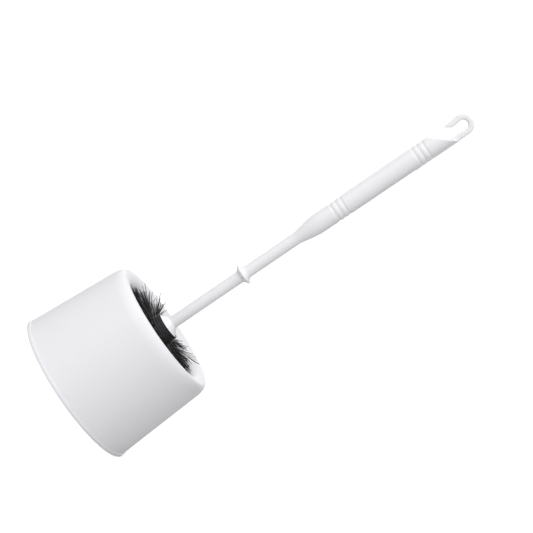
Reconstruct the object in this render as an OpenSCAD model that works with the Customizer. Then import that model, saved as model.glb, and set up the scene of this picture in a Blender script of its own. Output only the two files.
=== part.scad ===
// Free-standing toilet brush and holder.
// The holder is an open-bottomed bowl snapped onto a drip base. The brush is a one-piece
// handle, with a hanging hook and a drip collar, screwed into a tufted brush head.
// +Z is up, the origin is the middle of the underside, and all sizes are in millimetres.

/* [Holder] */
// Diameter of the foot, the widest part of the holder
foot_d = 140; // [140:0.5:150]
// Height of the foot rim of the base
foot_h = 3.5; // [3:0.1:5]
// Height of the holder's highest point
holder_h = 94.9; // [94:0.1:97]
// Outer diameter of the bowl at its foot
bowl_foot_d = 138.2; // [136:0.1:138.2]
// Outer diameter of the bowl where the shoulder starts
bowl_shoulder_d = 127.4; // [125:0.1:130]
// Diameter of the ring along the top of the bowl
crest_d = 116.4; // [114:0.1:118]
// Diameter of the mouth
mouth_d = 92; // [91:0.5:95]
// Drop from the top of the bowl to where its inner lip hangs straight
lip_drop = 8.3; // [7:0.1:9]
// Wall thickness of the bowl and the base
wall = 2; // [1.8:0.1:2.4]
// Height of the drip floor above the ground
floor_z = 4.5; // [4.2:0.1:4.7]

/* [Brush head] */
// Diameter over the tips of the bristles
brush_d = 86; // [80:0.5:88]
// Diameter of the head's body
core_d = 31; // [30:0.5:33]
// Diameter of the head's rim round the cap
rim_d = 24.8; // [24.4:0.1:26]
// Tufts in each row round the head
tufts_per_row = 12; // [10:1:12]
// Height of the top row of tufts
top_row_z = 88; // [87:0.5:89]
// Distance from one row to the next
row_pitch = 9.6; // [9.2:0.1:9.7]
// Diameter of the drilled hole that holds a tuft
tuft_hole_d = 4; // [3.6:0.1:4.1]

/* [Handle] */
// Height of the top of the hook above the ground
total_h = 408.9; // [402:0.1:420]
// Diameter of the stick
stick_d = 10.3; // [10:0.1:11]
// Diameter of the conical cap that sits on the brush head
cap_d = 23; // [22:0.1:23.2]
// Diameter of the drip collar
collar_d = 18.5; // [14:0.5:20]
// Height of the drip collar above the ground
collar_z = 175.6; // [165:0.1:190]
// Diameter of the grip
grip_d = 17.6; // [16:0.1:19]
// Depth of the finger grooves
groove_depth = 0.5; // [0.2:0.05:0.8]
// Thickness of the hook from front to back
hook_t = 6; // [5:0.5:8]

/* [Hidden] */
$fn = 96;
eps = 0.01;
// How far the plain blocks of one moulding reach into each other
overlap = 0.3;
holder_colour = "#f2f3f4";
handle_colour = "#f4f5f6";
core_colour = "#1b1b1d";
bristle_colour = "#232326";
anchor_colour = "#b9a878";

// Base
foot_r = foot_d / 2;
foot_round = 0.9;
underside_z = floor_z - wall;
floor_fillet = 2;
rest_ring_in_r = 61;
upstand_gap = 0.9;
upstand_r = bowl_foot_d / 2 - wall - upstand_gap;
upstand_top = 12;
upstand_bevel = 0.6;
snap_z = 8;
snap_half = 0.9;
snap_out = 0.5;
snap_depth = 0.55;
rib_count = 8;
rib_t = 1.6;
rib_foot_z = 0.6;
hub_r = 9;

// Bowl
bowl_foot_r = bowl_foot_d / 2;
crest_r = crest_d / 2;
shoulder_rx = bowl_shoulder_d / 2 - crest_r;
shoulder_rz = 12.9;
shoulder_z = holder_h - shoulder_rz;
shoulder_from = 8;
mouth_r = mouth_d / 2;
lip_rx = crest_r - mouth_r;
lip_z = holder_h - lip_drop;
lip_straight = 1.1;

// Brush head
core_r = core_d / 2;
rim_r = rim_d / 2;
rim_top = 97.3;
rim_wall = 0.7;
rim_edge = 0.9;
rim_bevel = 0.2;
recess_z = 96;
neck_margin = 0.8;
neck_z = top_row_z - tuft_hole_d / 2 - neck_margin;
dome_r = 8;
core_bottom = 15.5;
dome_z = core_bottom + dome_r;
dome_mid_r = core_r - dome_r;
spigot_r = 5;
spigot_gap = 0.05;
spigot_bevel = 1;
spigot_bottom = 72;
socket_bottom = 71;

// Rows of tufts from the top: angle above the horizontal, and how short of the full reach they end
ROWS = [[0, 0.5], [4, 0], [0, 0], [0, 0], [-3, 0], [-7, 1], [-14, 3]];
// Angle of each tuft of the top row, which use has splayed
TOP_TILTS = [9, 15, 14, 5, 23, 15, 3, 2, 2, 2, 2, 4];
hole_depth = 6;
hole_out = 4;
hole_r = tuft_hole_d / 2;
tuft_root_r = hole_r - 0.35;
tuft_root_depth = 4.2;
tuft_tip_r = 3.2;
tuft_bevel = 1.1;
anchor = [3.2, 0.5, 1.6];
anchor_depth = 5.9;
crown_tilt = -35;
crown_count = 10;
crown_length = 19;
crown_tip_r = 3;
end_count = 5;
end_r = 5.2;
end_splay = 8;
end_length = 10.2;
end_tip_r = 2.5;

// Handle
stick_r = stick_d / 2;
upper_stick_r = stick_r + 0.05;
cap_r = cap_d / 2;
cap_z = recess_z + 0.1;
cap_bevel = 0.3;
cap_edge = 0.8;
cap_top = 101.4;
cap_fillet = 1.1;
collar_r = collar_d / 2;
collar_edge = 0.5;
// Outline of the collar's lower and upper neck: out from the stick, and up from the collar
COLLAR_BELOW = [[0, -5], [0.3, -3.6], [0.8, -2.6]];
COLLAR_ABOVE = [[0.9, 2.2], [0.25, 3.6], [0.05, 5.5]];
taper_z = 229;
taper_h = 26;
taper_skew = 0.8;
taper_steps = 20;
grip_r = grip_d / 2;
grip_low_r = grip_r - 0.25;
grip_even_z = 330;
groove_pitch = 5.05;
groove_groups = [269.7, 352.8];
groove_count = 3;
groove_sharpness = 2;
cut_angle = 50;
cut_z = 368.2;

// Hook
hook_x = -0.2;
hook_out_r = grip_r - hook_x;
hook_bar = 4.6;
hook_mid_r = hook_out_r - hook_bar / 2;
hook_z = total_h - hook_out_r;
hook_round = 1.3;
prong_lean = 6.6;
prong_length = 17;
prong_tip_z = hook_z - 14.7;
prong_tip_angle = 57;
shank_foot_z = 360;
// Block that is larger than the handle's upper end
cutter = [120, 40, 80];

// Points of an elliptical arc from angle a to angle b, in n steps
function arc(x, z, rx, rz, a, b, n = 12) =
    [for (i = [0:n]) let (t = a + (b - a) * i / n) [x + rx * cos(t), z + rz * sin(t)]];

// Radius of the bowl's outer wall at a height between the foot and the shoulder
function bowl_r(z) = let (
        top_r = crest_r + shoulder_rx * cos(shoulder_from),
        top_z = shoulder_z + shoulder_rz * sin(shoulder_from))
    bowl_foot_r + (top_r - bowl_foot_r) * (z - foot_h) / (top_z - foot_h);

// Rise of the handle's taper, from 0 to 1
function ease(t) = let (s = pow(t, taper_skew)) s * s * (3 - 2 * s);

// Radius of the plain grip at a height above the taper
function plain_grip_r(z) = let (low_z = taper_z + taper_h)
    grip_low_r + (grip_r - grip_low_r) * min(1, (z - low_z) / (grip_even_z - low_z));

// Outline of one group of finger grooves, the lowest of them centred at z0
function groove_points(z0, steps = 8) =
    [for (i = [0:groove_count * steps])
        let (z = z0 + groove_pitch * (i / steps - 0.5), wave = (1 - cos(360 * i / steps)) / 2)
        [plain_grip_r(z) - groove_depth * pow(wave, groove_sharpness), z]];

// Outline of one of the collar's necks
function neck_points(neck) = [for (p = neck) [stick_r + p[0], collar_z + p[1]]];

// Angle above the horizontal of tuft k in row i
function tuft_tilt(i, k) = i == 0 ? TOP_TILTS[k] : ROWS[i][0];

// Length of tuft k in row i outside the head's body
function tuft_length(i, k) = (brush_d / 2 - ROWS[i][1] - core_r) / cos(tuft_tilt(i, k));

// Rounded rectangle, w along x and t along y, centred
module bar_section(w, t, r = hook_round) {
    polygon(concat(
        arc(w / 2 - r, t / 2 - r, r, r, 0, 90, 6), arc(r - w / 2, t / 2 - r, r, r, 90, 180, 6),
        arc(r - w / 2, r - t / 2, r, r, 180, 270, 6), arc(w / 2 - r, r - t / 2, r, r, 270, 360, 6)));
}

// Drip base: foot rim, raised floor, the upstand that the bowl snaps over, and ribs underneath
module holder_base() {
    rib_h = underside_z - rib_foot_z;
    color(holder_colour) {
        rotate_extrude($fn = 180) polygon(concat(
            [[0, underside_z], [rest_ring_in_r, underside_z], [rest_ring_in_r, 0]],
            arc(foot_r - foot_round, foot_round, foot_round, foot_round, -90, 0, 5),
            arc(foot_r - foot_round, foot_h - foot_round, foot_round, foot_round, 0, 90, 5),
            [[upstand_r, foot_h]],
            arc(upstand_r, snap_z, snap_out, snap_half, -90, 90, 8),
            [[upstand_r, upstand_top - upstand_bevel], [upstand_r - upstand_bevel, upstand_top],
             [upstand_r - wall, upstand_top]],
            arc(upstand_r - wall - floor_fillet, floor_z + floor_fillet, floor_fillet, floor_fillet,
                0, -90, 6),
            [[0, floor_z]]));
        for (i = [0:rib_count - 1]) rotate([0, 0, i * 360 / rib_count])
            translate([hub_r - overlap, -rib_t / 2, rib_foot_z])
                cube([rest_ring_in_r - hub_r + 2 * overlap, rib_t, rib_h + overlap]);
        translate([0, 0, rib_foot_z]) difference() {
            cylinder(r = hub_r, h = rib_h + overlap);
            translate([0, 0, -1]) cylinder(r = hub_r - rib_t, h = rib_h + 1);
        }
    }
}

// Bowl: tapered wall, rounded shoulder, and a top that rolls in and down to the mouth's lip
module holder_bowl() {
    low = snap_z - snap_half;
    high = snap_z + snap_half;
    color(holder_colour) rotate_extrude($fn = 180) polygon(concat(
        [[bowl_foot_r, foot_h]],
        arc(crest_r, shoulder_z, shoulder_rx, shoulder_rz, shoulder_from, 90, 14),
        arc(crest_r, lip_z, lip_rx, lip_drop, 96, 180, 14),
        arc(mouth_r + wall / 2, lip_z - lip_straight, wall / 2, wall / 2, 180, 360, 6),
        arc(crest_r, lip_z, lip_rx - wall, lip_drop - wall, 180, 96, 14),
        arc(crest_r, shoulder_z, shoulder_rx - wall, shoulder_rz - wall, 90, shoulder_from, 14),
        [[bowl_r(high) - wall, high]],
        arc(bowl_r(snap_z) - wall, snap_z, snap_depth, snap_half, 85, -85, 8),
        [[bowl_r(low) - wall, low], [bowl_foot_r - wall, foot_h]]));
}

// Spigot, cap, stick, collar and grip of the handle, turned about Z
module handle_body() {
    rotate_extrude() polygon(concat(
        [[0, spigot_bottom], [spigot_r - spigot_bevel, spigot_bottom],
         [spigot_r, spigot_bottom + spigot_bevel], [spigot_r, cap_z],
         [cap_r - cap_bevel, cap_z], [cap_r, cap_z + cap_bevel], [cap_r, cap_z + cap_edge]],
        arc(stick_r + cap_fillet, cap_top + cap_fillet, cap_fillet, cap_fillet, 231, 180, 5),
        neck_points(COLLAR_BELOW),
        arc(collar_r - collar_edge, collar_z, collar_edge, collar_edge, -60, 60, 5),
        neck_points(COLLAR_ABOVE),
        [for (i = [0:taper_steps]) let (t = i / taper_steps)
            [upper_stick_r + (grip_low_r - upper_stick_r) * ease(t), taper_z + taper_h * t]],
        groove_points(groove_groups[0]),
        [[grip_r, grip_even_z]],
        groove_points(groove_groups[1]),
        [[grip_r, hook_z], [0, hook_z]]));
}

// Block with one face through (x, z) that rises to the right at an angle. It lies on the upper
// left of that face when side is 1, and on its lower right when side is -1
module slant_block(x, z, angle, side) {
    translate([x, 0, z]) rotate([0, -angle, 0]) translate([0, 0, side * cutter[2] / 2])
        cube(cutter, center = true);
}

// Hanging hook: shank, half ring and a leaning prong with a slanting tip
module hook() {
    tip_x = hook_x - hook_mid_r + (hook_z - prong_tip_z) * tan(prong_lean)
        - hook_bar / 2 / cos(prong_lean);
    translate([hook_x + hook_mid_r, 0, shank_foot_z]) linear_extrude(hook_z - shank_foot_z + eps)
        bar_section(hook_bar, hook_t);
    translate([hook_x, 0, hook_z]) rotate([90, 0, 0]) rotate_extrude(angle = 180)
        translate([hook_mid_r, 0]) bar_section(hook_bar, hook_t);
    difference() {
        translate([hook_x - hook_mid_r, 0, hook_z]) rotate([0, 180 - prong_lean, 0])
            linear_extrude(prong_length) bar_section(hook_bar, hook_t);
        slant_block(tip_x, prong_tip_z, prong_tip_angle, -1);
    }
}

// One-piece handle: threaded spigot, cap, stick, drip collar, grip and hook
module handle() {
    color(handle_colour) {
        difference() {
            handle_body();
            slant_block(-grip_r, cut_z, cut_angle, 1);
        }
        hook();
    }
}

// Puts its children at a tuft's root, with +Z along the tuft
module at_tuft(angle, r, z, tilt) {
    rotate([0, 0, angle]) translate([r, 0, z]) rotate([0, 90 - tilt, 0]) children();
}

// Puts its children at the root of tuft k in row i. Every other row is turned by half a step
module on_row(i, k) {
    at_tuft((k + (i % 2) / 2) * 360 / tufts_per_row, core_r, top_row_z - i * row_pitch,
        tuft_tilt(i, k)) children();
}

// Repeats its children at the roots of the crown, on the rounded end of the head
module on_crown() {
    for (k = [0:crown_count - 1])
        at_tuft(k * 360 / crown_count, dome_mid_r + dome_r * cos(crown_tilt),
            dome_z + dome_r * sin(crown_tilt), crown_tilt) children();
}

// Repeats its children at the roots of the end tufts, which point down
module on_end() {
    at_tuft(0, 0, core_bottom, -90) children();
    for (k = [0:end_count - 1])
        at_tuft(k * 360 / end_count, end_r, core_bottom, end_splay - 90) children();
}

// Repeats its children at the roots of every tuft
module on_every_tuft() {
    for (i = [0:len(ROWS) - 1]) for (k = [0:tufts_per_row - 1]) on_row(i, k) children();
    on_crown() children();
    on_end() children();
}

// Hole for a tuft, drilled along the tuft
module tuft_hole() {
    translate([0, 0, -hole_depth]) cylinder(r = hole_r, h = hole_depth + hole_out, $fn = 32);
}

// One tuft, from its root in the hole to its trimmed tip, over which the filaments spread
module tuft(length, tip_r = tuft_tip_r) {
    rotate_extrude($fn = 24) polygon([[0, -tuft_root_depth], [tuft_root_r, -tuft_root_depth],
        [tip_r, length - tuft_bevel], [tip_r - tuft_bevel, length], [0, length]]);
}

// Flat staple that pins a folded tuft at the bottom of its hole
module tuft_anchor() {
    translate([-anchor[0] / 2, -anchor[1] / 2, -anchor_depth]) cube(anchor);
}

// Body of the brush head, with the socket for the handle and a hole for each tuft
module brush_core() {
    color(core_colour) difference() {
        rotate_extrude() polygon(concat(
            [[0, core_bottom]], arc(dome_mid_r, dome_z, dome_r, dome_r, -90, 0, 8),
            [[core_r, neck_z], [rim_r, rim_top - rim_edge], [rim_r, rim_top - rim_bevel],
             [rim_r - rim_bevel, rim_top], [rim_r - rim_wall, rim_top],
             [rim_r - rim_wall, recess_z], [spigot_r + spigot_gap, recess_z],
             [spigot_r + spigot_gap, socket_bottom], [0, socket_bottom]]));
        on_every_tuft() tuft_hole();
    }
}

// One row of tufts round the head
module bristle_row(i) {
    color(bristle_colour) for (k = [0:tufts_per_row - 1]) on_row(i, k) tuft(tuft_length(i, k));
}

// Tufts that slant down and out from the rounded end
module bristle_crown() {
    color(bristle_colour) on_crown() tuft(crown_length, crown_tip_r);
}

// Short tufts under the end of the head
module bristle_end() {
    color(bristle_colour) on_end() tuft(end_length, end_tip_r);
}

// All the staples, one in each hole
module tuft_anchors() {
    color(anchor_colour) on_every_tuft() tuft_anchor();
}

holder_base();
holder_bowl();
handle();
brush_core();
bristle_row(0);  // bristle_row_1
bristle_row(1);  // bristle_row_2
bristle_row(2);  // bristle_row_3
bristle_row(3);  // bristle_row_4
bristle_row(4);  // bristle_row_5
bristle_row(5);  // bristle_row_6
bristle_row(6);  // bristle_row_7
bristle_crown();
bristle_end();
tuft_anchors();
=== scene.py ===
import math
import random

import bmesh
import bpy
import numpy as np
from mathutils import Matrix, Vector


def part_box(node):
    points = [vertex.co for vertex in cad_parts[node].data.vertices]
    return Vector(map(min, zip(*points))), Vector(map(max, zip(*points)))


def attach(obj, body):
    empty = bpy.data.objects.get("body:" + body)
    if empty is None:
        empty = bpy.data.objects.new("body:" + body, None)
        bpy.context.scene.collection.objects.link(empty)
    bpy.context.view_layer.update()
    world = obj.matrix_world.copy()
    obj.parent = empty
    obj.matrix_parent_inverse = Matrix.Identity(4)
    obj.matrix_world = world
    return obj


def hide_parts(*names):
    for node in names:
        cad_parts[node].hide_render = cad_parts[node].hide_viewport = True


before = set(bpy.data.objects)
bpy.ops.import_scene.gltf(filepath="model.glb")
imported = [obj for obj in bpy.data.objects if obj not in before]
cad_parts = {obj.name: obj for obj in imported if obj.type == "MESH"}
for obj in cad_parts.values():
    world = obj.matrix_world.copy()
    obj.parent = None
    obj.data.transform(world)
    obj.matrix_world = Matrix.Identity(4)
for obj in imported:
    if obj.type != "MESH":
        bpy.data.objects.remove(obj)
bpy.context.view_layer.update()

MM = 0.001
SEED = 7
rng = random.Random(SEED)

# ---------------------------------------------------------------- sizes, in millimetres

# Bowl
WALL = 2.0
CREST_R = 58.2
SHOULDER_RX, SHOULDER_RZ, SHOULDER_FROM = 5.5, 12.9, 8.0
MOUTH_R, LIP_DROP, LIP_STRAIGHT = 46.0, 8.3, 1.1
FOOT_EDGE = 0.2
BOWL_LATHE = 192

# Handle
STICK_R = 5.15
UPPER_STICK_R = 5.2
GRIP_R = 8.8
GRIP_LOW_R = 8.55
CAP_R = 11.5
CAP_Z = 96.1
CAP_TOP = 101.4
SPIGOT_R = 5.0
CAP_FLAT, CAP_EDGE_R, CAP_FILLET = 0.5, 0.45, 1.1
COLLAR_R = 9.25
COLLAR_EDGE_R = 0.5
COLLAR_Z = 175.6
COLLAR_BELOW = ((0, -5.2), (0.08, -4.5), (0.25, -3.8), (0.45, -3.2), (0.85, -2.6))
COLLAR_ABOVE = ((1.1, 2.1), (0.55, 2.8), (0.25, 3.6), (0.1, 4.5), (0.05, 5.5))
TAPER_Z, TAPER_H, TAPER_SKEW = 229.0, 26.0, 0.8
GRIP_EVEN_Z = 330.0
GROOVES = (269.7, 352.8)
GROOVE_PITCH, GROOVE_COUNT, GROOVE_DEPTH, GROOVE_SHARP = 5.05, 3, 0.5, 2
CUT_DEG, CUT_Z = 50.0, 368.2
HOOK_X, HOOK_BAR, HOOK_T, HOOK_ROUND = -0.2, 4.6, 6.0, 1.3
PRONG_LEAN_DEG, PRONG_TIP_DROP, PRONG_TIP_DEG = 6.6, 14.7, 57.0
CUT_BLEND, TIP_BLEND, HOOK_BLEND = 1.1, 0.8, 1.6
NET_Z = 346.0
NET_STEP = 0.4
NET_MARGIN = 1.2
GRIP_STEP = 0.35
HANDLE_LATHE = 72

# Light, as radiance with white at 1, and watts
SOFT_FROM, SOFT_LEVEL, SOFT_SLOPE = (-0.5, -0.72, 0.38), 0.635, 0.88
BACKDROP, BACKDROP_FROM, BACKDROP_TO = 1.0, 0.72, 0.92
LEAST_LEVEL, BACKGROUND_SEEN = 0.02, 1.02
LIGHT_TINT = (0.98, 0.972, 0.984, 1)
FLOOR_R, FLOOR_BELOW = 6000, 0.0002
FLOOR_SEEN, FLOOR_GLOW, FLOOR_ALBEDO = 0.3, 0.8, 0.55
TOP_POWER, STRIP_POWER = 1.2, 2.5

# Camera, in metres, degrees and, for the sensor and the lens, millimetres
CAMERA_AWAY, CAMERA_HEIGHT, CAMERA_ASIDE, AIM_Z = 1.476, 0.339, 0.0054, 0.1957
CAMERA_TURN_DEG = 55.8
SENSOR_MM, LENS_MM = 36.0, 117.861163

# Brush head
CORE_R = 15.5
DOME_R, CORE_BOTTOM = 8.0, 15.5
BRUSH_R = 43.0
TUFTS, TOP_ROW_Z, ROW_PITCH = 12, 88.0, 9.6
ROWS = ((0, 0.5), (4, 0), (0, 0), (0, 0), (-3, 0), (-7, 1), (-14, 3))
# Worn tufts of the top row: lowest and highest angle of their filaments in degrees, how much most of them lie
# low, and their spread to the sides in degrees
TOP_FANS = (
    (-6, 14, 1.1, 7), (-6, 23, 1.4, 7), (-5, 15, 1.4, 7), (-4, 8, 2, 5), (1, 27, 0.9, 7), (-6, 23, 1.5, 9),
    (-6, 10, 1.0, 6), (-6, 5, 1.5, 5), (-6, 5, 1.5, 5), (-6, 5, 1.5, 5), (-6, 5, 1.5, 5), (-6, 7, 1.5, 5))
FAN_REACH = (37.0, 44.2)
FAN_THICKER, FAN_FILAMENTS = 1.2, 42
CROWN_TILT, CROWN_COUNT, CROWN_LENGTH = -35.0, 10, 19.0
END_COUNT, END_R, END_SPLAY, END_LENGTH = 5, 5.2, 8.0, 10.2
TUFT_ROOT_R, TUFT_TIP_R, END_TIP_R = 1.75, 2.95, 2.45
FILAMENTS = 34
FILAMENT_R, FILAMENT_SIDES = 0.23, 4
GOLDEN_ANGLE = 2.39996
TUFT_DEPTH = 2.5
FAN_KNEE = 9


# ---------------------------------------------------------------- mesh helpers

def new_object(name, verts, faces):
    """Links a mesh whose vertices are given in millimetres."""
    mesh = bpy.data.meshes.new(name)
    mesh.from_pydata([tuple(c * MM for c in v) for v in verts], [], faces)
    mesh.update()
    ob = bpy.data.objects.new(name, mesh)
    bpy.context.scene.collection.objects.link(ob)
    return ob


def smooth(ob, degrees=35.0):
    ob.data.shade_smooth()
    ob.data.set_sharp_from_angle(angle=math.radians(degrees))


def arc(x, z, rx, rz, a, b, n=12):
    """Points of an elliptical arc from angle a to angle b, in degrees."""
    steps = (math.radians(a + (b - a) * i / n) for i in range(n + 1))
    return [(x + rx * math.cos(t), z + rz * math.sin(t)) for t in steps]


def lathe_mesh(profile, segments, closed=False):
    """Vertices and faces of a (radius, height) profile turned about Z. A point on the axis closes the form."""
    verts, rings, faces = [], [], []
    for r, z in profile:
        if r < 1e-6:
            rings.append([len(verts)])
            verts.append((0.0, 0.0, z))
            continue
        rings.append(range(len(verts), len(verts) + segments))
        verts += [(r * math.cos(2 * math.pi * k / segments), r * math.sin(2 * math.pi * k / segments), z)
                  for k in range(segments)]
    pairs = list(zip(rings, rings[1:]))
    if closed:
        pairs.append((rings[-1], rings[0]))
    for low, high in pairs:
        for k in range(segments):
            n = (k + 1) % segments
            if len(low) == 1:
                faces.append((low[0], high[n], high[k]))
            elif len(high) == 1:
                faces.append((low[k], low[n], high[0]))
            else:
                faces.append((low[k], low[n], high[n], high[k]))
    return verts, faces


# ---------------------------------------------------------------- materials

class Nodes:
    """Short names for building one material's node tree."""

    def __init__(self, name):
        self.material = bpy.data.materials.new(name)
        self.material.use_nodes = True
        self.tree = self.material.node_tree
        self.shader = next(n for n in self.tree.nodes if n.type == "BSDF_PRINCIPLED")

    def add(self, kind, **inputs):
        node = self.tree.nodes.new(kind)
        for key, value in inputs.items():
            node.inputs[key.replace("_", " ")].default_value = value
        return node

    def link(self, source, target):
        self.tree.links.new(source, target)

    def place(self):
        return self.add("ShaderNodeTexCoord").outputs["Object"]

    def noise(self, scale, detail=3.0):
        node = self.add("ShaderNodeTexNoise", Scale=scale, Detail=detail, Roughness=0.5)
        self.link(self.place(), node.inputs["Vector"])
        return node.outputs["Fac"]

    def span(self, value, low, high, from_low=0.3, from_high=0.7):
        node = self.add("ShaderNodeMapRange")
        for key, number in (("From Min", from_low), ("From Max", from_high),
                            ("To Min", low), ("To Max", high)):
            node.inputs[key].default_value = number
        self.link(value, node.inputs["Value"])
        return node.outputs["Result"]

    def blend(self, factor, first, second):
        node = self.add("ShaderNodeMix")
        node.data_type = "RGBA"
        node.inputs[6].default_value = (*first, 1)
        node.inputs[7].default_value = (*second, 1)
        self.link(factor, node.inputs[0])
        return node.outputs[2]

    def bump(self, height, strength, distance, normal=None):
        node = self.add("ShaderNodeBump", Strength=strength, Distance=distance)
        self.link(height, node.inputs["Height"])
        if normal:
            self.link(normal, node.inputs["Normal"])
        return node.outputs["Normal"]

    def set(self, **inputs):
        for key, value in inputs.items():
            socket = self.shader.inputs[key.replace("_", " ")]
            if isinstance(value, bpy.types.NodeSocket):
                self.link(value, socket)
            else:
                socket.default_value = value


def white_plastic(name, colour, shade, depth):
    """Glossy moulded polypropylene: soft flow marks in colour and gloss, and a very fine mould texture."""
    n = Nodes(name)
    flow = n.noise(18.0, 2.0)
    grain = n.noise(2600.0, 2.0)
    waves = n.noise(45.0, 1.0)
    low = tuple(c * shade for c in colour)
    normal = n.bump(grain, 0.08, 0.00005)
    normal = n.bump(waves, 0.25, 0.00015, normal)
    n.set(Base_Color=n.blend(n.span(flow, 0, 1, 0.1, 0.9), colour, low),
          Roughness=n.span(flow, 0.28, 0.32, 0.1, 0.9),
          Normal=normal, IOR=1.49, Specular_IOR_Level=0.5,
          Subsurface_Weight=depth, Subsurface_Scale=0.004)
    n.shader.inputs["Subsurface Radius"].default_value = (1.0, 0.95, 0.9)
    return n.material


def black_plastic(name):
    """Satin black moulding with fine turned rings."""
    n = Nodes(name)
    rings = n.add("ShaderNodeTexWave", Scale=150.0, Distortion=1.2)
    rings.wave_type, rings.bands_direction = "BANDS", "Z"
    n.link(n.place(), rings.inputs["Vector"])
    grain = n.noise(900.0, 3.0)
    tone = n.blend(n.span(grain, 0, 1), (0.004, 0.004, 0.005), (0.011, 0.01, 0.011))
    n.set(Base_Color=tone, Roughness=n.span(grain, 0.24, 0.38),
          Normal=n.bump(rings.outputs["Fac"], 0.5, 0.0005), IOR=1.5,
          Specular_IOR_Level=0.35)
    return n.material


def bristle_plastic(name):
    """Black drawn filament: each one differs a little in tone and gloss."""
    n = Nodes(name)
    island = n.add("ShaderNodeNewGeometry").outputs["Random Per Island"]
    streak = n.noise(500.0, 2.0)
    tone = n.blend(island, (0.006, 0.006, 0.007), (0.03, 0.028, 0.027))
    n.set(Base_Color=tone, Roughness=n.span(streak, 0.28, 0.42), IOR=1.5, Specular_IOR_Level=0.5)
    return n.material


def drawn_steel(name):
    """Flat drawn wire."""
    n = Nodes(name)
    grain = n.noise(4000.0, 2.0)
    tone = n.blend(n.span(grain, 0, 1), (0.52, 0.5, 0.44), (0.66, 0.64, 0.58))
    n.set(Base_Color=tone, Roughness=n.span(grain, 0.28, 0.45), Metallic=1.0)
    return n.material


def paint(ob, material):
    ob.data.materials.clear()
    ob.data.materials.append(material)


HOLDER_WHITE = white_plastic("holder_white", (0.86, 0.865, 0.88), 0.985, 0.12)
HANDLE_WHITE = white_plastic("handle_white", (0.88, 0.885, 0.9), 0.985, 0.0)
CORE_BLACK = black_plastic("core_black")
BRISTLE_BLACK = bristle_plastic("bristle_black")
ANCHOR_STEEL = drawn_steel("anchor_steel")


# ---------------------------------------------------------------- holder

def make_bowl():
    """The bowl's wall, its shoulder and the top that rolls in and down to the mouth, as one turned form."""
    low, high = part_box("holder_bowl")
    foot_r, foot_z, top_z = high[0] / MM, low[2] / MM, high[2] / MM
    shoulder_z, lip_z, lip_rx = top_z - SHOULDER_RZ, top_z - LIP_DROP, CREST_R - MOUTH_R
    start = arc(CREST_R, shoulder_z, SHOULDER_RX, SHOULDER_RZ, SHOULDER_FROM, 90)[0]
    outer = [(foot_r + (start[0] - foot_r) * i / 24, foot_z + (start[1] - foot_z) * i / 24)
             for i in range(24)]
    inner = [(r - WALL, z) for r, z in outer[::-1]]
    outer[0] = (foot_r - FOOT_EDGE, foot_z)
    outer.insert(1, (foot_r, foot_z + FOOT_EDGE))
    profile = (
        outer
        + arc(CREST_R, shoulder_z, SHOULDER_RX, SHOULDER_RZ, SHOULDER_FROM, 90, 30)
        + arc(CREST_R, lip_z, lip_rx, LIP_DROP, 93, 180, 30)
        + arc(MOUTH_R + WALL / 2, lip_z - LIP_STRAIGHT, WALL / 2, WALL / 2, 180, 360, 12)
        + arc(CREST_R, lip_z, lip_rx - WALL, LIP_DROP - WALL, 180, 93, 24)
        + arc(CREST_R, shoulder_z, SHOULDER_RX - WALL, SHOULDER_RZ - WALL, 90, SHOULDER_FROM, 24)
        + inner
    )
    ob = new_object("bowl_moulding", *lathe_mesh(profile, BOWL_LATHE, closed=True))
    smooth(ob)
    paint(ob, HOLDER_WHITE)
    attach(ob, "bowl")
    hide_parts("holder_bowl")


# ---------------------------------------------------------------- handle

def ease(t):
    s = t ** TAPER_SKEW
    return s * s * (3 - 2 * s)


def grip_radius(z):
    """Radius of the grip at height z, finger grooves included. Works on arrays."""
    start = TAPER_Z + TAPER_H
    plain = GRIP_LOW_R + (GRIP_R - GRIP_LOW_R) * np.clip((z - start) / (GRIP_EVEN_Z - start), 0, 1)
    cut = 0.0
    for first in GROOVES:
        low, high = first - GROOVE_PITCH / 2, first + GROOVE_PITCH * (GROOVE_COUNT - 0.5)
        wave = (1 + np.cos(2 * np.pi * (z - first) / GROOVE_PITCH)) / 2
        cut = cut + np.where((z > low) & (z < high), GROOVE_DEPTH * wave ** GROOVE_SHARP, 0.0)
    return plain - cut


def smooth_max(a, b, k):
    h = np.clip(0.5 - 0.5 * (b - a) / k, 0, 1)
    return b * (1 - h) + a * h + k * h * (1 - h)


def smooth_min(a, b, k):
    return -smooth_max(-a, -b, k)


def rounded_bar(across, y, half_w, half_t, r):
    """Distance to a bar of rounded rectangular section, from the distance to its centre line and y."""
    dx = np.abs(across) - (half_w - r)
    dy = np.abs(y) - (half_t - r)
    outside = np.sqrt(np.maximum(dx, 0) ** 2 + np.maximum(dy, 0) ** 2)
    return outside + np.minimum(np.maximum(dx, dy), 0) - r


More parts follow.
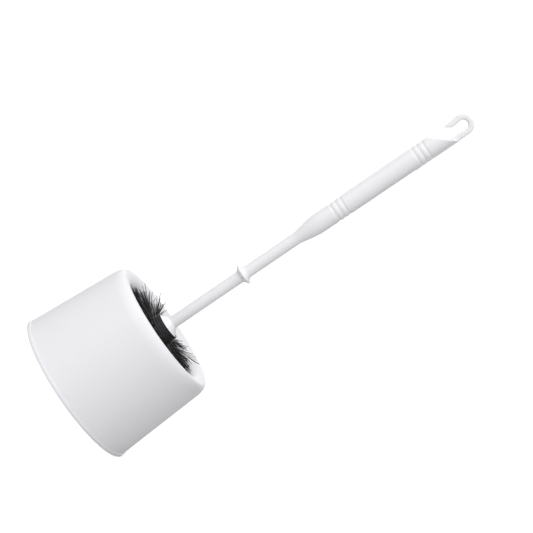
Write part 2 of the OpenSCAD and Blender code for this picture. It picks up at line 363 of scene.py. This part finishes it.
def handle_end(x, y, z):
    """Signed distance to the upper end of the grip with its hook: negative inside."""
    out_r = GRIP_R - HOOK_X
    mid_r = out_r - HOOK_BAR / 2
    hook_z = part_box("handle")[1][2] / MM - out_r
    slope = math.radians(CUT_DEG)
    above = (z - CUT_Z) * math.cos(slope) - (x + GRIP_R) * math.sin(slope)
    grip = smooth_max(np.sqrt(x * x + y * y) - grip_radius(z), above, CUT_BLEND)

    dx, dz = x - HOOK_X, z - hook_z
    ring = np.where(dz > 0, np.abs(np.sqrt(dx * dx + dz * dz) - mid_r), 1e3)
    shank = np.where(dz <= 0, np.abs(dx - mid_r), 1e3)
    lean = math.radians(PRONG_LEAN_DEG)
    px, pz = dx + mid_r, dz
    along = -pz * math.cos(lean) + px * math.sin(lean)
    across = px * math.cos(lean) + pz * math.sin(lean)
    prong = np.where((along >= 0) & (dz <= 0) & (dx < 0), np.abs(across), 1e3)
    bar = rounded_bar(np.minimum(np.minimum(ring, shank), prong), y, HOOK_BAR / 2, HOOK_T / 2, HOOK_ROUND)
    tip_slope = math.radians(PRONG_TIP_DEG)
    tip_x = HOOK_X - mid_r + PRONG_TIP_DROP * math.tan(lean) - HOOK_BAR / 2 / math.cos(lean)
    tip = (hook_z - PRONG_TIP_DROP - z) * math.cos(tip_slope) + (x - tip_x) * math.sin(tip_slope)
    bar = np.where(dx < 0, smooth_max(bar, tip, TIP_BLEND), bar)
    return smooth_min(grip, bar, HOOK_BLEND)


def surface_net(field, low, high, step):
    """Vertices and quads of the surface field = 0 on a grid from low to high."""
    axes = [np.arange(a, b + step, step) for a, b in zip(low, high)]
    x, y, z = np.meshgrid(*axes, indexing="ij")
    values = field(x, y, z)
    inside = values < 0
    cells = tuple(n - 1 for n in inside.shape)
    corners = [(i, j, k) for i in (0, 1) for j in (0, 1) for k in (0, 1)]

    def part(array, corner):
        i, j, k = corner
        return array[i:i + cells[0], j:j + cells[1], k:k + cells[2]]

    count = sum(part(inside, c).astype(int) for c in corners)
    crossing = (count > 0) & (count < 8)
    total = np.zeros((*cells, 3))
    hits = np.zeros(cells)
    for a in corners:
        for axis in range(3):
            if a[axis]:
                continue
            b = tuple(1 if i == axis else a[i] for i in range(3))
            va, vb = part(values, a), part(values, b)
            cut = (part(inside, a) != part(inside, b)) & crossing
            t = np.where(cut, va / np.where(cut, va - vb, 1), 0)
            for i in range(3):
                total[..., i] += np.where(cut, a[i] + (t if i == axis else 0), 0)
            hits += cut
    ids = np.full(cells, -1)
    ids[crossing] = np.arange(crossing.sum())
    base = np.stack(np.nonzero(crossing), axis=1)
    verts = np.array(low) + step * (base + total[crossing] / hits[crossing][:, None])
    quads = []
    for axis in range(3):
        u, v = (axis + 1) % 3, (axis + 2) % 3
        first = [slice(1, n - 1) for n in inside.shape]
        first[axis] = slice(0, inside.shape[axis] - 1)
        second = list(first)
        second[axis] = slice(1, inside.shape[axis])
        a, b = inside[tuple(first)], inside[tuple(second)]
        for starts_inside in (True, False):
            where = np.stack(np.nonzero((a != b) & (a == starts_inside)), axis=1)
            where += [0 if i == axis else 1 for i in range(3)]
            ring = []
            for du, dv in ((-1, -1), (0, -1), (0, 0), (-1, 0)):
                cell = where.copy()
                cell[:, u] += du
                cell[:, v] += dv
                ring.append(ids[cell[:, 0], cell[:, 1], cell[:, 2]])
            ring = np.stack(ring if starts_inside else ring[::-1], axis=1)
            quads += ring[(ring >= 0).all(axis=1)].tolist()
    for _ in range(3):
        verts = onto_surface(field, verts)
    return relax(field, verts, quads), quads


def relax(field, verts, quads, passes=6):
    """Evens out a net: each vertex moves halfway to its neighbours' middle, then back onto the surface."""
    quads = np.array(quads)
    pairs = np.concatenate([quads[:, [i, (i + 1) % 4]] for i in range(4)])
    pairs = np.concatenate([pairs, pairs[:, ::-1]])
    count = np.bincount(pairs[:, 0], minlength=len(verts))[:, None]
    for _ in range(passes):
        total = np.zeros_like(verts)
        np.add.at(total, pairs[:, 0], verts[pairs[:, 1]])
        verts = onto_surface(field, (verts + total / count) / 2)
    return verts


def onto_surface(field, verts, eps=0.02):
    """Moves each vertex along the field's slope onto field = 0."""
    x, y, z = verts.T
    value = field(x, y, z)
    slope = np.stack([
        (field(x + eps, y, z) - field(x - eps, y, z)) / (2 * eps),
        (field(x, y + eps, z) - field(x, y - eps, z)) / (2 * eps),
        (field(x, y, z + eps) - field(x, y, z - eps)) / (2 * eps)], axis=1)
    size = np.maximum((slope ** 2).sum(axis=1), 0.25)
    return verts - np.clip(value / size, -0.2, 0.2)[:, None] * slope


def handle_profile():
    """Radius and height of the handle from the spigot to NET_Z."""
    low_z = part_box("handle")[0][2] / MM
    points = [(0, low_z), (SPIGOT_R - 1, low_z), (SPIGOT_R, low_z + 1), (SPIGOT_R, CAP_Z)]
    points.append((CAP_R - CAP_FLAT, CAP_Z))
    points += arc(CAP_R - CAP_EDGE_R, CAP_Z + CAP_EDGE_R, CAP_EDGE_R, CAP_EDGE_R, -80, 51, 8)
    points += arc(STICK_R + CAP_FILLET, CAP_TOP + CAP_FILLET, CAP_FILLET, CAP_FILLET, 231, 180, 8)
    points += [(STICK_R, CAP_TOP + 4 + 5 * i) for i in range(12)]
    points += [(STICK_R + out, COLLAR_Z + up) for out, up in COLLAR_BELOW]
    points += arc(COLLAR_R - COLLAR_EDGE_R, COLLAR_Z, COLLAR_EDGE_R, COLLAR_EDGE_R, -60, 60, 8)
    points += [(STICK_R + out, COLLAR_Z + up) for out, up in COLLAR_ABOVE]
    points += [(UPPER_STICK_R, COLLAR_Z + 12 + 4 * i) for i in range(10)]
    points += [(UPPER_STICK_R + (GRIP_LOW_R - UPPER_STICK_R) * ease(i / 30), TAPER_Z + TAPER_H * i / 30)
               for i in range(31)]
    z = TAPER_Z + TAPER_H + 1
    while z < NET_Z - 1:
        points.append((float(grip_radius(z)), z))
        in_groove = GROOVES[0] - GROOVE_PITCH < z < GROOVES[0] + GROOVE_PITCH * GROOVE_COUNT
        z += GRIP_STEP if in_groove else 3 * GRIP_STEP
    return points + [(float(grip_radius(NET_Z)), NET_Z - 0.6)]


def make_handle():
    """The one-piece handle: a turned lower part, bridged to the blended upper end with its hook."""
    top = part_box("handle")[1][2] / MM
    verts, faces = lathe_mesh(handle_profile(), HANDLE_LATHE)
    bm = bmesh.new()
    ring = [bm.verts.new(v) for v in verts]
    for face in faces:
        bm.faces.new([ring[i] for i in face])
    reach = GRIP_R + NET_MARGIN
    net_verts, quads = surface_net(handle_end, (-reach, -reach, NET_Z - 3), (reach, reach, top + 1), NET_STEP)
    net = [bm.verts.new(v) for v in net_verts]
    for quad in quads:
        bm.faces.new([net[i] for i in quad])
    edges = list({e for v in net for e in v.link_edges})
    geometry = net + edges + list({f for v in net for f in v.link_faces})
    bmesh.ops.bisect_plane(bm, geom=geometry, dist=1e-5, plane_co=(0, 0, NET_Z), plane_no=(0, 0, 1),
                           clear_inner=True)
    bmesh.ops.bridge_loops(bm, edges=[e for e in bm.edges if e.is_boundary])
    bmesh.ops.recalc_face_normals(bm, faces=bm.faces)
    bmesh.ops.scale(bm, vec=(MM, MM, MM), verts=bm.verts)
    mesh = bpy.data.meshes.new("handle_moulding")
    bm.to_mesh(mesh)
    bm.free()
    ob = bpy.data.objects.new("handle_moulding", mesh)
    bpy.context.scene.collection.objects.link(ob)
    smooth(ob, 40)
    paint(ob, HANDLE_WHITE)
    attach(ob, "handle")
    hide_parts("handle")


# ---------------------------------------------------------------- bristles

def tuft_frame(angle, r, z, tilt):
    """Root and axes of a tuft: along it, and two directions across it."""
    a, t = math.radians(angle), math.radians(tilt)
    out = Vector((math.cos(a), math.sin(a), 0))
    side = Vector((-math.sin(a), math.cos(a), 0))
    along = out * math.cos(t) + Vector((0, 0, math.sin(t)))
    return Vector((out.x * r, out.y * r, z)), along, side, along.cross(side)


def filament(verts, faces, points, radius):
    """Adds one thin tube along the points, with a closed tip."""
    base, sides = len(verts), FILAMENT_SIDES
    for i, p in enumerate(points):
        ahead = points[min(i + 1, len(points) - 1)] - points[max(i - 1, 0)]
        across = ahead.orthogonal() if i == 0 else u - ahead * (u.dot(ahead) / ahead.dot(ahead))
        u = across.normalized()
        w = ahead.cross(u).normalized()
        size = radius * (0.75 if i == len(points) - 1 else 1.0)
        for k in range(sides):
            t = 2 * math.pi * k / sides
            verts.append(tuple(p + (u * math.cos(t) + w * math.sin(t)) * size))
    for i in range(len(points) - 1):
        for k in range(sides):
            a, b = base + i * sides + k, base + i * sides + (k + 1) % sides
            faces.append((a, b, b + sides, a + sides))
    last = base + (len(points) - 1) * sides
    faces.append(tuple(range(last, last + sides)))
    faces.append(tuple(base + sides - 1 - k for k in range(sides)))


def tuft_filaments(verts, faces, place, length, tip_r=TUFT_TIP_R, bend=0.6):
    """Adds one tuft: filaments leave the hole side by side and spread towards a trimmed tip."""
    root, along, side, up = place
    for i in range(FILAMENTS):
        turn = i * GOLDEN_ANGLE + rng.uniform(-0.2, 0.2)
        reach = math.sqrt((i + 0.5) / FILAMENTS)
        across = side * math.cos(turn) + up * math.sin(turn)
        start = root - along * TUFT_DEPTH + across * TUFT_ROOT_R * reach
        end = (root + along * (length * rng.uniform(0.97, 1.0))
               + across * (tip_r * reach * rng.uniform(0.8, 1.05)))
        sway = (side * rng.gauss(0, 1) + up * rng.gauss(0, 1)) * bend
        points = [start.lerp(end, s) + sway * (s * (1 - s) * 2) for s in (0.0, 0.22, 0.45, 0.7, 1.0)]
        filament(verts, faces, points, FILAMENT_R * rng.uniform(0.85, 1.1))


def splayed_tuft(verts, faces, angle, z, fan):
    """Adds one worn tuft of the top row: its filaments fan out between two angles from the level."""
    lowest, highest, low_bias, aside = fan
    root, along, side, up = tuft_frame(angle, CORE_R, z, (lowest + highest) / 2)
    for i in range(FAN_FILAMENTS):
        turn, reach = i * GOLDEN_ANGLE, math.sqrt((i + 0.5) / FAN_FILAMENTS)
        across = (side * math.cos(turn) + up * math.sin(turn)) * (TUFT_ROOT_R * reach)
        start = root + across - along * TUFT_DEPTH
        rise = math.radians(lowest + (highest - lowest) * rng.random() ** low_bias)
        away = math.radians(angle + rng.gauss(0, aside))
        tip_r = rng.uniform(*FAN_REACH)
        end = Vector((tip_r * math.cos(away), tip_r * math.sin(away), z + (tip_r - CORE_R) * math.tan(rise)))
        knee = root + along * FAN_KNEE
        points = []
        for s in (0.0, 0.2, 0.4, 0.6, 0.8, 1.0):
            points.append(start.lerp(knee, s).lerp(knee.lerp(end, s), s))
        filament(verts, faces, points, FILAMENT_R * FAN_THICKER * rng.uniform(0.85, 1.1))


def finish_bristles(name, verts, faces, *nodes):
    ob = new_object(name, verts, faces)
    smooth(ob, 60)
    paint(ob, BRISTLE_BLACK)
    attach(ob, "brush_head")
    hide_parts(*nodes)


def make_row(i):
    tilt, short = ROWS[i]
    verts, faces = [], []
    length = (BRUSH_R - short - CORE_R) / math.cos(math.radians(tilt))
    for k in range(TUFTS):
        angle, z = (k + i % 2 / 2) * 360 / TUFTS, TOP_ROW_Z - i * ROW_PITCH
        if i == 0:
            splayed_tuft(verts, faces, angle, z, TOP_FANS[k])
        else:
            tuft_filaments(verts, faces, tuft_frame(angle, CORE_R, z, tilt), length)
    finish_bristles(f"filaments_row_{i + 1}", verts, faces, f"bristle_row_{i + 1}")


def make_crown():
    verts, faces = [], []
    t = math.radians(CROWN_TILT)
    r, z = CORE_R - DOME_R + DOME_R * math.cos(t), CORE_BOTTOM + DOME_R + DOME_R * math.sin(t)
    for k in range(CROWN_COUNT):
        tuft_filaments(verts, faces, tuft_frame(k * 360 / CROWN_COUNT, r, z, CROWN_TILT), CROWN_LENGTH)
    finish_bristles("filaments_crown", verts, faces, "bristle_crown")


def make_end():
    verts, faces = [], []
    places = [tuft_frame(0, 0, CORE_BOTTOM, -90)]
    places += [tuft_frame(k * 360 / END_COUNT, END_R, CORE_BOTTOM, END_SPLAY - 90) for k in range(END_COUNT)]
    for place in places:
        tuft_filaments(verts, faces, place, END_LENGTH, END_TIP_R, bend=0.3)
    finish_bristles("filaments_end", verts, faces, "bristle_end")


# ---------------------------------------------------------------- stage, light and camera

def make_stage():
    """A floor that looks white, apart from a faint contact shadow, and lights the set a little less."""
    ob = new_object("floor", *lathe_mesh([(0, 0), (FLOOR_R, 0)], 64))
    ob.location.z = -FLOOR_BELOW
    n = Nodes("floor_white")
    tone = n.blend(n.span(n.noise(3.0), 0, 1), (FLOOR_SEEN, FLOOR_SEEN, FLOOR_SEEN), (0.34, 0.34, 0.34))
    n.set(Base_Color=tone, Roughness=0.9, Specular_IOR_Level=0.0)
    n.shader.inputs["Emission Color"].default_value = (1, 1, 1, 1)
    n.shader.inputs["Emission Strength"].default_value = FLOOR_GLOW
    hidden = n.add("ShaderNodeBsdfDiffuse", Color=(FLOOR_ALBEDO, FLOOR_ALBEDO, FLOOR_ALBEDO, 1))
    mix = n.add("ShaderNodeMixShader")
    n.link(n.add("ShaderNodeLightPath").outputs["Is Camera Ray"], mix.inputs[0])
    n.link(hidden.outputs[0], mix.inputs[1])
    n.link(n.shader.outputs[0], mix.inputs[2])
    output = next(k for k in n.tree.nodes if k.type == "OUTPUT_MATERIAL")
    n.link(mix.outputs[0], output.inputs["Surface"])
    paint(ob, n.material)


def make_world():
    """Soft studio surroundings: brighter towards the left front, with a white backdrop behind."""
    world = bpy.data.worlds.new("studio")
    bpy.context.scene.world = world
    world.use_nodes = True
    tree = world.node_tree
    tree.nodes.clear()

    def maths(kind, first, second, third=None):
        node = tree.nodes.new("ShaderNodeMath")
        node.operation = kind
        for socket, value in zip(node.inputs, (first, second, third)):
            if isinstance(value, bpy.types.NodeSocket):
                tree.links.new(value, socket)
            elif value is not None:
                socket.default_value = value
        return node.outputs[0]

    direction = tree.nodes.new("ShaderNodeTexCoord").outputs["Generated"]
    dot = tree.nodes.new("ShaderNodeVectorMath")
    dot.operation = "DOT_PRODUCT"
    dot.inputs[1].default_value = Vector(SOFT_FROM).normalized()
    tree.links.new(direction, dot.inputs[0])
    apart = tree.nodes.new("ShaderNodeSeparateXYZ")
    tree.links.new(direction, apart.inputs[0])
    slope = maths("MULTIPLY_ADD", dot.outputs["Value"], SOFT_SLOPE, SOFT_LEVEL)
    edge = tree.nodes.new("ShaderNodeMapRange")
    edge.interpolation_type = "SMOOTHSTEP"
    for key, number in (("From Min", BACKDROP_FROM), ("From Max", BACKDROP_TO), ("To Min", 0.0),
                        ("To Max", BACKDROP)):
        edge.inputs[key].default_value = number
    tree.links.new(apart.outputs["Y"], edge.inputs["Value"])
    level = maths("MAXIMUM", maths("ADD", slope, edge.outputs["Result"]), LEAST_LEVEL)

    out = tree.nodes.new("ShaderNodeOutputWorld")
    mix = tree.nodes.new("ShaderNodeMixShader")
    light = tree.nodes.new("ShaderNodeBackground")
    seen = tree.nodes.new("ShaderNodeBackground")
    path = tree.nodes.new("ShaderNodeLightPath")
    light.inputs["Color"].default_value = LIGHT_TINT
    tree.links.new(level, light.inputs["Strength"])
    seen.inputs["Strength"].default_value = BACKGROUND_SEEN
    seen.inputs["Color"].default_value = (1, 1, 1, 1)
    tree.links.new(path.outputs["Is Camera Ray"], mix.inputs[0])
    tree.links.new(light.outputs[0], mix.inputs[1])
    tree.links.new(seen.outputs[0], mix.inputs[2])
    tree.links.new(mix.outputs[0], out.inputs["Surface"])


def add_light(name, place, target, size, power, height=None):
    data = bpy.data.lights.new(name, "AREA")
    data.shape, data.size, data.energy = "DISK", size, power
    if height:
        data.shape, data.size_y = "RECTANGLE", height
    ob = bpy.data.objects.new(name, data)
    ob.location = place
    ob.rotation_mode = "QUATERNION"
    ob.rotation_quaternion = (Vector(target) - Vector(place)).to_track_quat("-Z", "Y")
    bpy.context.scene.collection.objects.link(ob)


def make_lights():
    middle = (0, 0, 0.15)
    add_light("top", (-0.15, -0.1, 1.5), middle, 0.8, TOP_POWER)
    add_light("strip", (-1.3, -1.25, 0.45), middle, 0.5, STRIP_POWER, height=1.4)


def make_camera():
    """At the height of the grip, 1.5 m away, with the picture turned so that the set lies aslant."""
    turn = math.radians(CAMERA_TURN_DEG)
    pitch = math.atan2(CAMERA_HEIGHT - AIM_Z, CAMERA_AWAY)
    data = bpy.data.cameras.new("camera")
    data.sensor_width = SENSOR_MM
    data.lens = LENS_MM
    ob = bpy.data.objects.new("camera", data)
    bpy.context.scene.collection.objects.link(ob)
    level = Vector((1, 0, 0))
    forward = Vector((0, math.cos(pitch), -math.sin(pitch)))
    above = level.cross(forward)
    right = level * math.cos(turn) + above * math.sin(turn)
    up = above * math.cos(turn) - level * math.sin(turn)
    rows = Matrix((right, up, -forward)).transposed()
    ob.rotation_mode = "QUATERNION"
    ob.rotation_quaternion = rows.to_quaternion()
    ob.location = (CAMERA_ASIDE, -CAMERA_AWAY, CAMERA_HEIGHT)
    bpy.context.scene.camera = ob


make_camera()
make_bowl()
make_handle()
for row in range(len(ROWS)):
    make_row(row)
make_crown()
make_end()
for node, material in (("holder_base", HOLDER_WHITE), ("brush_core", CORE_BLACK),
                       ("tuft_anchors", ANCHOR_STEEL)):
    paint(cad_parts[node], material)
make_stage()
make_world()
make_lights()
bpy.context.scene.view_settings.view_transform = "Standard"
